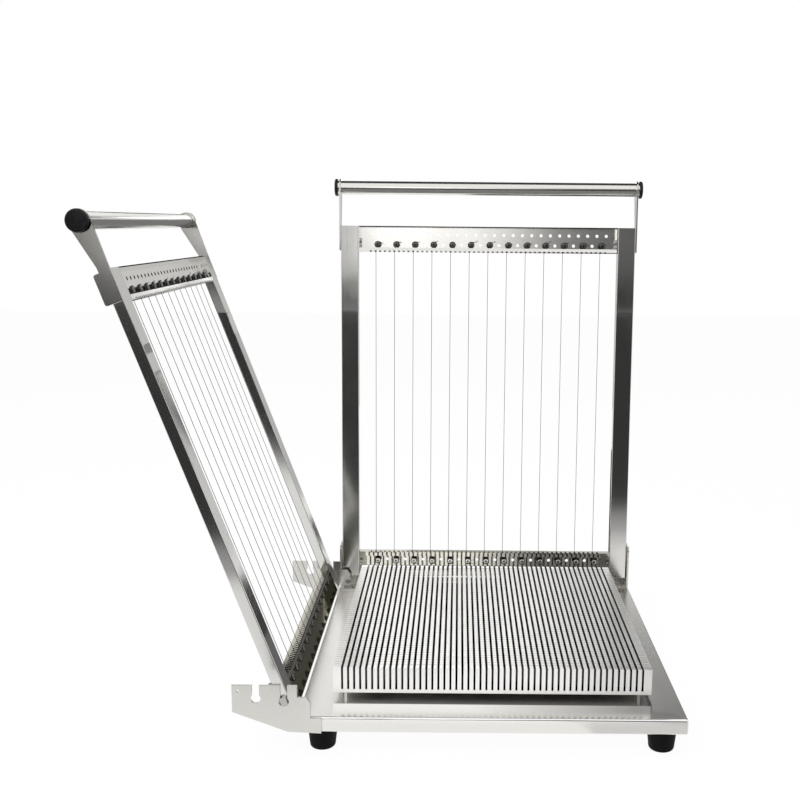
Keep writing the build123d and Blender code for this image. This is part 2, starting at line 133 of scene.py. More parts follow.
class CutterBedSettings(bpy.types.PropertyGroup):
    """Sizes of the bed's grid of posts."""

    slot_pitch: length("Slot pitch", "Distance between neighbouring slots, both ways", 7.5)
    slot_width: length("Slot width", "Width of each slot that runs from front to back", 2.6)
    cross_slot_width: length("Cross slot width", "Width of each slot that runs from side to side", 1.4)
    slot_depth: length("Slot depth", "Depth of each slot below the bed's top", 28.5)
    post_bevel: length("Post bevel", "Broken edge round the top of each post", 0.35)


class CutterSheetSettings(bpy.types.PropertyGroup):
    """Sizes of folded and cut sheet metal."""

    thickness: length("Sheet thickness", "Wall of the base pan", 2.0)
    bend_radius: length("Bend radius", "Outside radius of the folds", 3.0)
    corner_radius: length("Corner radius", "Radius of the pan's upright corners", 3.0)
    flange_width: length("Flange width", "Width of the return flange under the pan", 48.0)
    edge_break: length("Edge break", "Width of the broken edges of cut plates", 0.35)


class CutterWireSettings(bpy.types.PropertyGroup):
    """Sizes of the wires' windings and of the screws that hold them."""

    wire_count: bpy.props.IntProperty(name="Wires", description="Wires in each frame", default=13, min=2)
    wire_diameter: length("Wire diameter", "Diameter of a cutting wire", 0.7)
    shank_diameter: length("Shank diameter", "Diameter of the screw that a wire is wound on", 5.0)
    turns: plain("Turns", "Turns of wire round each screw", 5.3, 1.0)
    winding_depth: length("Winding depth", "How far the tight turns run along the screw", 2.6)
    loose_turn: length("Loose turn", "Room between a screw's head and the last, loose turn", 0.1)
    tail_length: length("Tail length", "Mean length of the wire's free end", 6.5)
    head_diameter: length("Head diameter", "Diameter of a screw's head", 9.0)
    head_height: length("Head height", "Height of a screw's head", 2.8)


class CutterFinishSettings(bpy.types.PropertyGroup):
    """Colours of the finishes."""

    polished: colour("Polished steel", "Arms", 0.74, 0.73, 0.705)
    satin: colour("Satin steel", "Handle tubes, top bars and base", 0.84, 0.825, 0.79)
    # Paler colour of the base's front fold, which is a painted highlight
    worn: colour("Worn edge", "Front fold of the base, rubbed bright", 0.98, 0.975, 0.965)
    # The two bottom bars are one steel given two tints: the left bar's darker, olive tint is painted shade
    left_mirror: colour("Left mirror steel", "Bottom bar of the left frame", 0.5, 0.475, 0.39)
    back_mirror: colour("Back mirror steel", "Bottom bar of the back frame", 0.56, 0.54, 0.48)
    plate: colour("Plate steel", "Brackets, ears and handle plates", 0.72, 0.705, 0.67)
    bed: colour("Bed aluminium", "Posts of the bed", 0.97, 0.955, 0.925)
    bright: colour("Bright steel", "Nuts, pins and small screws", 0.55, 0.55, 0.53)
    tension_head: colour("Tension screw heads", "Screws at the top of the wires", 0.17, 0.17, 0.165)
    anchor_head: colour("Anchor screw heads", "Screws at the foot of the wires", 0.9, 0.88, 0.82)
    wire: colour("Wire steel", "Cutting wires and their windings", 0.06, 0.06, 0.06)
    # Painted shade: near black for the insides of slots, holes and notches
    slot: colour("Slot walls", "Insides of the bed's slots and of the bars' holes", 0.008, 0.008, 0.008)
    rubber: colour("Rubber", "Feet", 0.002, 0.002, 0.002)
    plastic: colour("Plastic", "Handle caps", 0.003, 0.003, 0.0035)


class CutterStudioSettings(bpy.types.PropertyGroup):
    """Camera, lamps and floor."""

    camera_place: bpy.props.FloatVectorProperty(
        name="Camera place", description="Where the camera stands", default=(0.0748, -1.46506, 0.6415),
        size=3, subtype="TRANSLATION", unit="LENGTH")
    camera_yaw: turn("Camera yaw", "Turn to the right", 0.03)
    camera_pitch: turn("Camera pitch", "Tilt downwards", 9.53)
    camera_roll: turn("Camera roll", "Roll about the line of sight", -0.51)
    lens: plain("Lens", "Focal length in millimetres on a 36 mm sensor", 47.51, 1.0)
    shift_x: plain("Shift", "Sideways shift of the picture, as a share of its width", -0.07303, -1.0)
    floor: colour("Floor", "Pale floor", 0.93, 0.93, 0.93)
    floor_glow: plain("Floor glow", "Share of the floor that shows as plain white", 0.95)
    ambient: plain("Ambient", "Strength of the even light from all round", 0.66)
    key_power: plain("Key lamp", "Power of the large lamp at the upper left, in watts", 30.0)
    fill_power: plain("Fill lamp", "Power of the lamp at the right, in watts", 6.0)
    top_power: plain("Top lamp", "Power of the lamp overhead, in watts", 16.0)


def settings(name):
    """One of the settings groups above, from the scene."""
    return getattr(bpy.context.scene, "cutter_" + name)


# Surfaces


def quad_grid(rows, columns):
    """Quads of a grid of points that closes round its columns: (i, j), (i, j+1), (i+1, j+1), (i+1, j)."""
    here = np.arange(rows - 1)[:, None] * columns
    there = here + columns
    j = np.arange(columns)
    k = (j + 1) % columns
    return np.stack([here + j, here + k, there + k, there + j], axis=-1).reshape(-1, 4)


def repeated(points, faces, copies):
    """Faces of one shape whose points stand one copy after the other: each copy adds their count."""
    steps = np.arange(copies) * points
    return (faces[None] + steps[:, None, None]).reshape(-1, faces.shape[1])


def lathe(profile, sides):
    """Profile of (radius, height) turned about +Z: (r cos a, r sin a, h) for equal steps of a."""
    angle = np.arange(sides) * 2 * pi / sides
    ring = np.stack([np.cos(angle), np.sin(angle)], axis=-1)
    points = np.empty((len(profile), sides, 3))
    points[..., :2] = profile[:, None, :1] * ring[None]
    points[..., 2] = profile[:, 1:]
    return points.reshape(-1, 3), quad_grid(len(profile), sides)


def tubes(paths, radius, sides):
    """Round tubes along paths: each point plus r (n cos a + b sin a), with n and b across the path.

    Gives the points, the quads round the tubes and the faces that close their ends.
    """
    tangent = np.gradient(paths, axis=1)
    tangent /= np.linalg.norm(tangent, axis=2, keepdims=True)
    across = np.cross(tangent, np.array([0.0, 1.0, 0.0]))
    across /= np.linalg.norm(across, axis=2, keepdims=True)
    upward = np.cross(tangent, across)
    angle = np.arange(sides)[:, None] * 2 * pi / sides
    ring = across[:, :, None] * np.cos(angle) + upward[:, :, None] * np.sin(angle)
    points = paths[:, :, None] + ring * radius
    count, steps = paths.shape[:2]
    quads = repeated(steps * sides, quad_grid(steps, sides), count)
    first = np.arange(sides)[None, :]
    ends = np.concatenate([first[:, ::-1], first + (steps - 1) * sides])
    return points.reshape(-1, 3), quads, repeated(steps * sides, ends, count)


def lean(name):
    """Angle by which a wire frame that stands open leans outwards."""
    return radians(JOINTS[name + "_frame"]["range_deg"][1] - 90)


def frame_axes(name):
    """Origin and axes of one wire frame: x along its hinge, y to its outer side, z up its arms."""
    joint = JOINTS[name + "_frame"]
    c, s = cos(lean(name)), sin(lean(name))
    along = np.array(joint["axis"], float)
    up = np.array([0.0, 0.0, 1.0])
    outward = np.cross(up, along)
    axes = np.stack([along, outward * c - up * s, outward * s + up * c])
    return np.array(joint["pos_m"], float), axes


def from_frame(name, points):
    """Points of a wire frame's own axes in the model's axes."""
    origin, axes = frame_axes(name)
    return origin + points @ axes


def vectors(items, key):
    """One vector of each point or face of a mesh, as rows of an array."""
    rows = np.empty(len(items) * 3)
    items.foreach_get(key, rows)
    return rows.reshape(-1, 3)


def frame_box(name, node):
    """Lowest and highest corner of a node, in a wire frame's own axes."""
    origin, axes = frame_axes(name)
    inside = (vectors(NODES[node].data.vertices, "co") - origin) @ axes.T
    return inside.min(axis=0), inside.max(axis=0)


def screw_places(low, high, depth):
    """Middles of a row of wire screws that fills a box, in a wire frame's own axes."""
    sizes = settings("wires")
    head = sizes.head_diameter / 2
    x = np.linspace(low[0] + head, high[0] - head, sizes.wire_count)
    return np.stack([x, np.full_like(x, depth), np.full_like(x, (low[2] + high[2]) / 2)], axis=-1)


def new_object(name, data):
    """Object of the scene that holds a mesh, a lamp or a camera."""
    made = bpy.data.objects.new(name, data)
    bpy.context.scene.collection.objects.link(made)
    return made


def new_piece(name, points, faces, finish, body, sharp_angle):
    """Mesh piece from arrays of points and faces, smooth but for edges sharper than the angle, in degrees."""
    mesh = bpy.data.meshes.new(name)
    mesh.from_pydata(points.tolist(), [], [list(face) for face in faces])
    mesh.validate()
    mesh.shade_smooth()
    mesh.set_sharp_from_angle(angle=radians(sharp_angle))
    mesh.materials.append(finish)
    piece = new_object(name, mesh)
    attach(piece, body)
    return piece


def softened_copy(node, finish):
    """Copy of a cut or folded plate with its edges broken, which stands for the node."""
    flat_angle, sharp_angle, break_angle = radians(1), radians(30), radians(40)
    source = NODES[node]
    mesh = source.data.copy()
    mesh.name = node + "_finished"
    shell = bmesh.new()
    shell.from_mesh(mesh)
    bmesh.ops.remove_doubles(shell, verts=shell.verts, dist=HAIR)
    bmesh.ops.dissolve_limit(shell, angle_limit=flat_angle, verts=shell.verts, edges=shell.edges)
    shell.to_mesh(mesh)
    shell.free()
    mesh.shade_flat()
    mesh.set_sharp_from_angle(angle=sharp_angle)
    mesh.materials.clear()
    mesh.materials.append(finish)
    piece = new_object(node + "_finished", mesh)
    bevel = piece.modifiers.new("Broken edges", "BEVEL")
    bevel.width = settings("sheet").edge_break
    bevel.segments = 2
    bevel.limit_method = "ANGLE"
    bevel.angle_limit = break_angle
    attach(piece, source["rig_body"])
    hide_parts(node)
    return piece


# Finishes


class Metal(NamedTuple):
    """Finish of a metal: its colour's name in the settings, its streaks, and how these change it.

    The grain is the streaks' width and length, and the darkest is the share of the colour in a dark streak.
    """

    name: str
    tint: str
    grain: tuple
    roughness: tuple
    contrast: float
    bump: float
    darkest: float = 0.82
    metallic: float = 1.0
    specular: float = 0.5


# Mirror-polished stainless steel of the arms, with the faint lines of its polishing along them
ARM_STEEL = Metal("polished steel", "polished", grain=(0.0009, 0.16), roughness=(0.07, 0.18), contrast=0.9,
                  bump=0.015, darkest=0.86)
# Mirror-polished stainless steel of a handle tube
HANDLE_STEEL = Metal("handle steel", "satin", grain=(0.0009, 0.2), roughness=(0.12, 0.2), contrast=0.7,
                     bump=0.003, darkest=0.92)
# Satin stainless sheet of a top bar
BAR_STEEL = Metal("bar steel", "satin", grain=(0.0005, 0.04), roughness=(0.1, 0.2), contrast=0.9, bump=0.01,
                  darkest=0.9)
# Bright-rolled stainless sheet of a bottom bar, which mirrors the bed's slots; its tint, darker on the left
# bar as painted shade, is set for each frame
MIRROR_STEEL = Metal("mirror steel", "left_mirror", grain=(0.0005, 0.04), roughness=(0.04, 0.1),
                     contrast=0.8, bump=0.006, darkest=0.9)
# Satin stainless sheet of the base
PAN_STEEL = Metal("pan steel", "satin", grain=(0.0005, 0.05), roughness=(0.22, 0.28), contrast=1.0,
                  bump=0.012, darkest=0.94)
# Front fold of the base: smoother steel, whose paler colour is a painted highlight
FOLD_HIGHLIGHT_STEEL = Metal("worn edge steel", "worn", grain=(0.0005, 0.05), roughness=(0.06, 0.12), contrast=1.0,
                   bump=0.003, darkest=0.98)
# Cut plate with a slightly warm, satin face, and the smoother plate of the handles
PLATE_STEEL = Metal("plate steel", "plate", grain=(0.0004, 0.02), roughness=(0.22, 0.34), contrast=0.7,
                    bump=0.02, darkest=0.9)
SMOOTH_PLATE = PLATE_STEEL._replace(roughness=(0.14, 0.18))
# Plain bright steel of small turned pieces, with fine tool marks
BRIGHT_STEEL = Metal("bright steel", "bright", grain=(0.0012, 0.0012), roughness=(0.18, 0.36), contrast=1.2,
                     bump=0.05)
# Dull steel wire, darkened by use
WIRE_STEEL = Metal("wire steel", "wire", grain=(0.0008, 0.002), roughness=(0.3, 0.45), contrast=1.2,
                   bump=0.02)
# Walls of slots, holes and notches, painted near black and dull as shade, though they are the same metal as
# the rest
SLOT_SHADE = Metal("slot aluminium", "slot", grain=(0.0005, 0.01), roughness=(0.8, 0.95), contrast=1.2,
                   bump=0.05, darkest=0.7, metallic=0.0, specular=0.0)
# Milled aluminium of the bed, with fine streaks along the cutter's path
BED_METAL = Metal("bed aluminium", "bed", grain=(0.0005, 0.012), roughness=(0.26, 0.34), contrast=1.0,
                  bump=0.015, darkest=0.95)


def fill(node, sockets):
    """Fills inputs of a node, each by its name or number: an output is linked, and a value is set."""
    for key, value in sockets.items():
        if isinstance(value, bpy.types.NodeSocket):
            node.id_data.links.new(value, node.inputs[key])
        else:
            node.inputs[key].default_value = value


def add(tree, kind, place, sockets=None, **values):
    """New node of a tree, with its own values set and then its inputs filled."""
    node = tree.nodes.new("ShaderNode" + kind)
    node.location = place
    for key, value in values.items():
        setattr(node, key, value)
    fill(node, sockets or {})
    return node


def new_group(name, value, output):
    """Node group with a vector and a number as inputs and one number as output, and its two end nodes."""
    made = bpy.data.node_groups.new(name, "ShaderNodeTree")
    made.interface.new_socket("Vector", in_out="INPUT", socket_type="NodeSocketVector")
    made.interface.new_socket(value, in_out="INPUT", socket_type="NodeSocketFloat")
    made.interface.new_socket(output, in_out="OUTPUT", socket_type="NodeSocketFloat")
    enter, leave = (made.nodes.new(kind) for kind in ("NodeGroupInput", "NodeGroupOutput"))
    enter.location, leave.location = (-700, 0), (80, 0)
    return made, enter.outputs, leave


def grain_group():
    """Node group: fine streaks, long along the vector's Z and close together across it."""
    made = bpy.data.node_groups.get("Brushed grain")
    if made:
        return made
    made, given, leave = new_group("Brushed grain", "Contrast", "Streak")
    noise = add(made, "TexNoise", (-500, 0),
                {"Vector": given["Vector"], "Scale": 1.0, "Detail": 3.0, "Roughness": 0.6})
    centred = add(made, "Math", (-300, 0), {0: noise.outputs["Fac"], 1: 0.5}, operation="SUBTRACT")
    scaled = add(made, "Math", (-120, 0), {0: centred.outputs[0], 1: given["Contrast"], 2: 0.5},
                 operation="MULTIPLY_ADD", use_clamp=True)
    fill(leave, {"Streak": scaled.outputs[0]})
    return made


def smudge_group():
    """Node group: broad soft patches, as handling leaves them, from 0 to 1."""
    made = bpy.data.node_groups.get("Hand smudges")
    if made:
        return made
    made, given, leave = new_group("Hand smudges", "Scale", "Patches")
    noise = add(made, "TexNoise", (-500, 0),
                {"Vector": given["Vector"], "Scale": given["Scale"], "Detail": 4.0, "Distortion": 0.4})
    spread = add(made, "MapRange", (-260, 0),
                 {"Value": noise.outputs["Fac"], "From Min": 0.38, "From Max": 0.66},
                 interpolation_type="SMOOTHSTEP")
    fill(leave, {"Patches": spread.outputs["Result"]})
    return made


def new_material(name):
    """New material, its tree of nodes and its shader."""
    made = bpy.data.materials.new(name)
    made.use_nodes = True
    return made, made.node_tree, made.node_tree.nodes["Principled BSDF"]


def metal(recipe, grain_turn=ALONG_Z, detail=""):
    """Brushed or polished metal: streaks tint and roughen it, and broad patches dull it a little.

    grain_turn turns the streaks, which otherwise run along Z.
    """
    name = recipe.name + detail
    if name in bpy.data.materials:
        return bpy.data.materials[name]
    tint = getattr(settings("finishes"), recipe.tint)
    width, along = recipe.grain
    patch_scale, patch_share, relief_height = 14.0, 0.45, 0.2 * MM
    made, tree, shader = new_material(name)
    place = add(tree, "TexCoord", (-1100, 0)).outputs["Object"]
    stretch = add(tree, "Mapping", (-900, 0),
                  {"Vector": place, "Rotation": grain_turn, "Scale": (width, width, along)},
                  vector_type="TEXTURE")
    grain = add(tree, "Group", (-680, 0),
                {"Vector": stretch.outputs["Vector"], "Contrast": recipe.contrast}, node_tree=grain_group())
    streak = grain.outputs["Streak"]
    patches = add(tree, "Group", (-680, -260), {"Vector": place, "Scale": patch_scale},
                  node_tree=smudge_group())
    mix = add(tree, "Mix", (-420, 160),
              {"Factor": streak, "A": (*(recipe.darkest * channel for channel in tint), 1.0),
               "B": (*tint, 1.0)}, data_type="RGBA")
    dull = add(tree, "Math", (-420, -160), {0: patches.outputs["Patches"], 1: patch_share, 2: streak},
               operation="MULTIPLY_ADD")
    rough = add(tree, "MapRange", (-240, -160),
                {"Value": dull.outputs[0], "From Max": 1 + patch_share, "To Min": recipe.roughness[0],
                 "To Max": recipe.roughness[1]})
    relief = add(tree, "Bump", (-240, -420),
                 {"Height": streak, "Strength": recipe.bump, "Distance": relief_height})
    fill(shader, {"Base Color": mix.outputs["Result"], "Roughness": rough.outputs["Result"],
                  "Normal": relief.outputs["Normal"], "Metallic": recipe.metallic,
                  "Specular IOR Level": recipe.specular})
    return made


def along_arm(name):
    """Turn that lays streaks along the arms of one wire frame."""
    return (0.0, -lean(name), 0.0) if name == "left" else (-lean(name), 0.0, 0.0)


def along_bar(name):
    """Turn that lays streaks along the bars of one wire frame."""
    return ALONG_Y if name == "left" else ALONG_X


def moulded(name, tint, roughness, speck_size, bump, specular):
    """Moulded rubber or plastic with a fine grain, dulled in patches."""
    if name in bpy.data.materials:
        return bpy.data.materials[name]
    tint = getattr(settings("finishes"), tint)
    patch_scale, paler, haze, relief_height = 60.0, 1.9, 0.001, 0.3 * MM
    made, tree, shader = new_material(name)
    place = add(tree, "TexCoord", (-1000, 0)).outputs["Object"]
    specks = add(tree, "TexNoise", (-760, -200), {"Vector": place, "Scale": 1.0 / speck_size, "Detail": 2.0})
    smudges = add(tree, "Group", (-760, 100), {"Vector": place, "Scale": patch_scale},
                  node_tree=smudge_group())
    patches = smudges.outputs["Patches"]
    mix = add(tree, "Mix", (-420, 200),
              {"Factor": patches, "A": (*tint, 1.0),
               "B": (*(paler * channel + haze for channel in tint), 1.0)}, data_type="RGBA")
    rough = add(tree, "MapRange", (-420, -60),
                {"Value": patches, "To Min": roughness[0], "To Max": roughness[1]})
    relief = add(tree, "Bump", (-420, -320),
                 {"Height": specks.outputs["Fac"], "Strength": bump, "Distance": relief_height})
    fill(shader, {"Base Color": mix.outputs["Result"], "Roughness": rough.outputs["Result"],
                  "Normal": relief.outputs["Normal"], "Specular IOR Level": specular})
    return made


def foot_rubber():
    """Matt black rubber with a fine moulded grain."""
    return moulded("foot rubber", "rubber", (0.55, 0.75), speck_size=0.0008, bump=0.25, specular=0.1)


def cap_plastic():
    """Glossy black plastic with light scuffs."""
    return moulded("cap plastic", "plastic", (0.22, 0.4), speck_size=0.0006, bump=0.08, specular=0.3)


def recess_shade_steel(row):
    """Turned steel with the painted shade of a cross recess, drawn dark on the head's own flat map."""
    name = f"recessed {row} screw steel"
    if name in bpy.data.materials:
        return bpy.data.materials[name]
    middle, arm_reach, arm_width, shade = 0.5, 0.27, 0.075, (0.03, 0.03, 0.03, 1.0)
    made = metal(BRIGHT_STEEL._replace(name=name, tint=f"{row}_head"))
    tree = made.node_tree
    shader = tree.nodes["Principled BSDF"]
    flat = add(tree, "UVMap", (-1100, 520), uv_map="head")
    split = add(tree, "SeparateXYZ", (-920, 520), {"Vector": flat.outputs["UV"]})
    cross = add(tree, "Math", (-380, 520), operation="MAXIMUM")
    for arm, (wide, thin) in enumerate((("X", "Y"), ("Y", "X"))):
        near = add(tree, "Math", (-740, 520), {0: split.outputs[wide], 1: middle, 2: arm_reach},
                   operation="COMPARE")
        slim = add(tree, "Math", (-740, 380), {0: split.outputs[thin], 1: middle, 2: arm_width},
                   operation="COMPARE")
        both = add(tree, "Math", (-560, 520), {0: near.outputs[0], 1: slim.outputs[0]}, operation="MULTIPLY")
        fill(cross, {arm: both.outputs[0]})
    # Painted shade: the cross turns the head's colour near black
    dark = add(tree, "Mix", (-180, 420), {"A": shader.inputs["Base Color"].links[0].from_socket, "B": shade,
                                          "Factor": cross.outputs[0]}, data_type="RGBA")
    fill(shader, {"Base Color": dark.outputs["Result"]})
    return made


def dress(node, finish):
    """Gives a carried-over node its finish."""
    materials = NODES[node].data.materials
    materials.clear()
    materials.append(finish)


# Pieces


class CUTTER_OT_bed(bpy.types.Operator):
    """Mill the bed: a slab with square posts between two crossing sets of slots"""

    bl_idname = "cutter.bed"
    bl_label = "Bed posts"

    def execute(self, context):
        low, high = (np.array(corner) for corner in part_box("cutting_bed"))
        floor = high[2] - settings("bed").slot_depth
        posts = self.posts(low, high, floor)
        corners = np.array([[x, y, z] for z in (0, 1) for x, y in ((0, 0), (1, 0), (1, 1), (0, 1))])
        slab = low + corners * (np.array([high[0], high[1], floor]) - low)
        slab_top = 1
        slab_faces = np.array([[3, 2, 1, 0], [4, 5, 6, 7], [0, 1, 5, 4], [1, 2, 6, 5], [2, 3, 7, 6],
                               [3, 0, 4, 7]])
        rings, sides = posts.shape[1:3]
        shell = np.concatenate([quad_grid(rings, sides), [[8, 9, 10, 11], [3, 2, 1, 0]]])
        post_faces = repeated(rings * sides, shell, len(posts)) + len(slab)
        piece = new_piece("bed_posts", np.concatenate([slab, posts.reshape(-1, 3)]),
                          np.concatenate([slab_faces, post_faces]), metal(BED_METAL, ALONG_Y), "base",
                          sharp_angle=20)
        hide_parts("cutting_bed")
        # Painted shade: the slab's top between the posts and the posts' sides in the long slots take the
        # near-black slot finish
        piece.data.materials.append(metal(SLOT_SHADE))
        # The posts' right and left sides stand in long slots, apart from the bed's outer sides
        right, left = 1, 3
        walls = np.zeros((len(posts), len(shell)), bool)
        walls[:, right] = posts[:, 0, 2, 0] < high[0] - HAIR
        walls[:, left] = posts[:, 0, 0, 0] > low[0] + HAIR
        slot_shade = np.concatenate([np.arange(len(slab_faces)) == slab_top, walls.ravel()])
        piece.data.polygons.foreach_set("material_index", slot_shade.astype(np.int32))
        return {"FINISHED"}

    def posts(self, low, high, floor):
        """Corners of every post as three rings: foot, below the bevel, and the top inside the bevel."""
        sizes = settings("bed")
        widths = (sizes.slot_width, sizes.cross_slot_width)
        spans = [self.spans(low[axis], high[axis], sizes.slot_pitch, widths[axis]) for axis in (0, 1)]
        x0, y0 = (grid.ravel() for grid in np.meshgrid(spans[0][:, 0], spans[1][:, 0]))
        x1, y1 = (grid.ravel() for grid in np.meshgrid(spans[0][:, 1], spans[1][:, 1]))
        rings = []
        for inset, height in ((0, floor), (0, high[2] - sizes.post_bevel), (sizes.post_bevel, high[2])):
            ring_x = np.stack([x0 + inset, x1 - inset, x1 - inset, x0 + inset], axis=-1)
            ring_y = np.stack([y0 + inset, y0 + inset, y1 - inset, y1 - inset], axis=-1)
            rings.append(np.stack([ring_x, ring_y, np.full_like(ring_x, height)], axis=-1))
        return np.stack(rings, axis=1)

    def spans(self, low, high, pitch, width):
        """Start and end of each post along one side: what the slots leave, k pitches from the middle."""
        reach = int((high - low) / 2 / pitch - 1)
        middle = (low + high) / 2 + np.arange(-reach, reach + 1) * pitch
        starts = np.concatenate([[low], middle + width / 2])
        ends = np.concatenate([middle - width / 2, [high]])
        return np.stack([starts, ends], axis=-1)


class CUTTER_OT_base(bpy.types.Operator):
    """Fold the base pan, break the edges of its brackets and finish its small pieces"""

    bl_idname = "cutter.base"
    bl_label = "Base, brackets and feet"

    def execute(self, context):
        self.pan()
        for node in ("left_front_bracket", "left_rear_bracket"):
            softened_copy(node, metal(PLATE_STEEL, ALONG_X, ", brackets along X"))
        for node in ("back_left_ear", "back_right_ear"):
            softened_copy(node, metal(PLATE_STEEL, ALONG_Z, ", brackets along Z"))
        for node in ("stop_studs", "bed_legs", "bed_leg_nuts", "bracket_screws", "bracket_nuts",
                     "foot_screws", "foot_nuts"):
            dress(node, metal(BRIGHT_STEEL))
        dress("rubber_feet", foot_rubber())
        return {"FINISHED"}

    def pan(self):
        """Folded section of (inset, height) carried round the base's outline, and closed by its two sheets.

        The fold along the front has a finish of its own: smoother, and paler as a painted highlight.
        """
        sizes = settings("sheet")
        low, high = (np.array(corner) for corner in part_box("base_pan"))
        foot, top = low[2], high[2]
        sheet, bend, flange = sizes.thickness, sizes.bend_radius, sizes.flange_width
        fold_steps, corner_steps, least_radius = 7, 6, 0.2 * MM
        least_share, margin_share = 0.2, 0.6
        angle = np.linspace(0, pi / 2, fold_steps)
        fold = np.stack([1 - np.sin(angle), 1 - np.cos(angle)], axis=-1)
        inner_fold = fold * max(bend - sheet, sheet * least_share)
        down = np.array([1.0, -1.0])
        top_fold = np.array([0.0, top]) + fold * bend * down
        foot_fold = np.array([0.0, foot]) + fold[::-1] * bend
        inside_foot = np.array([sheet, foot + sheet]) + inner_fold
        inside_top = np.array([sheet, top - sheet]) + inner_fold[::-1] * down
        margin = flange * margin_share
        section = np.concatenate([
            [[margin, top]], top_fold, foot_fold, [[flange, foot]], [[flange, foot + sheet]],
            inside_foot, inside_top, [[margin, top - sheet]]])
        inset, height = section[:, :1], section[:, 1:]
        radius = np.maximum(sizes.corner_radius - inset, least_radius)
        corner = np.linspace(0, pi / 2, corner_steps)
        quarter = np.concatenate([corner + k * pi / 2 for k in range(4)])
        middle, half = (low + high) / 2, (high - low) / 2
        centre_x = np.repeat([1, -1, -1, 1], corner_steps) * (half[0] - inset - radius)
        centre_y = np.repeat([1, 1, -1, -1], corner_steps) * (half[1] - inset - radius)
        points = np.stack([middle[0] + centre_x + radius * np.cos(quarter),
                           middle[1] + centre_y + radius * np.sin(quarter),
                           np.broadcast_to(height, centre_x.shape)], axis=-1)
        rows, columns = points.shape[:2]
        faces = quad_grid(rows, columns)[:, ::-1].tolist()
        faces.append(list(range(columns)))
        faces.append([(rows - 1) * columns + k for k in reversed(range(columns))])
        piece = new_piece("folded_pan", points.reshape(-1, 3), faces, metal(PAN_STEEL, ALONG_X), "base",
                          sharp_angle=50)
        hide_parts("base_pan")
        # Painted highlight: the faces of the front fold take the paler, smoother fold steel
        piece.data.materials.append(metal(FOLD_HIGHLIGHT_STEEL, ALONG_X))
        front = 3 * corner_steps - 1
        worn = np.zeros((rows - 1, columns), np.int32)
        worn[1:fold_steps, front] = 1
        piece.data.polygons.foreach_set("material_index", np.append(worn.ravel(), [0, 0]))


class CUTTER_OT_frames(bpy.types.Operator):
    """Finish the arms, bars, handles, pins and nuts of both wire frames"""

    bl_idname = "cutter.frames"
    bl_label = "Frames and handles"

    def execute(self, context):
        for name in FRAME_NAMES:
            detail, arm, bar = f", {name} frame", along_arm(name), along_bar(name)
            for node in ("near_arm", "far_arm", "arm_plugs", "pivot_blocks"):
                dress(f"{name}_{node}", metal(ARM_STEEL, arm, detail))
            dress(f"{name}_handle_tube", metal(HANDLE_STEEL, bar, detail))
            dress(f"{name}_handle_caps", cap_plastic())
            for node in ("pivot_pins", "tension_nuts", "anchor_nuts", "bar_screws"):
                dress(f"{name}_{node}", metal(BRIGHT_STEEL))
            dress(f"{name}_wires", metal(WIRE_STEEL))
            for node in ("near_handle_plate", "far_handle_plate"):
                softened_copy(f"{name}_{node}", metal(SMOOTH_PLATE, arm, f", {name} handle"))
            dress(f"{name}_top_bar", metal(BAR_STEEL, bar, detail))
            # Each bottom bar takes its own tint: painted shade on copies of one steel
            mirror_shade = MIRROR_STEEL._replace(tint=f"{name}_mirror")
            dress(f"{name}_bottom_bar", metal(mirror_shade, bar, detail))
            for node in ("top_bar", "bottom_bar"):
                self.darken_cuts(name, f"{name}_{node}")
        return {"FINISHED"}

    def darken_cuts(self, name, node):
        """Paints shade on the walls of a bar's holes and notches, in the near-black, dull slot finish.

        On a top bar, the ends of the notches, the back of the lip and the upper rim get this painted shade
        too.
        """
        sheet, rim_height, notch_reach, margin = 1.5 * MM, 1.2 * MM, 3 * MM, MM
        square, steep, slanted, sloping = 0.9, 0.8, 0.5, 0.2
        origin, axes = frame_axes(name)
        low, high = frame_box(name, node)
        mesh = NODES[node].data
        mesh.materials.append(metal(SLOT_SHADE))
        inside = (vectors(mesh.polygons, "center") - origin) @ axes.T
        facing = vectors(mesh.polygons, "normal") @ axes.T
        depth, outward = inside[:, 1], facing[:, 1]
        ends = np.minimum(inside - low, high - inside)
        in_sheet = (depth > high[1] - sheet) & (ends[:, 0] > margin) & (ends[:, 2] > margin)
        hole = in_sheet & (np.abs(outward) < slanted)
        notch = (np.abs(facing[:, 0]) > square) & (ends[:, 0] > 2 * margin)
        # Painted shade: these faces take the near-black slot finish
        dark = hole | notch
        if node.endswith("top_bar"):
            notch_end = (outward < -square) & (np.abs(depth) < notch_reach)
            lip_back = (outward > steep) & (facing[:, 2] < -sloping)
            rim = (outward < -square) & (inside[:, 2] > high[2] - rim_height)
            dark |= notch_end | lip_back | rim
        mesh.polygons.foreach_set("material_index", dark.astype(np.int32))


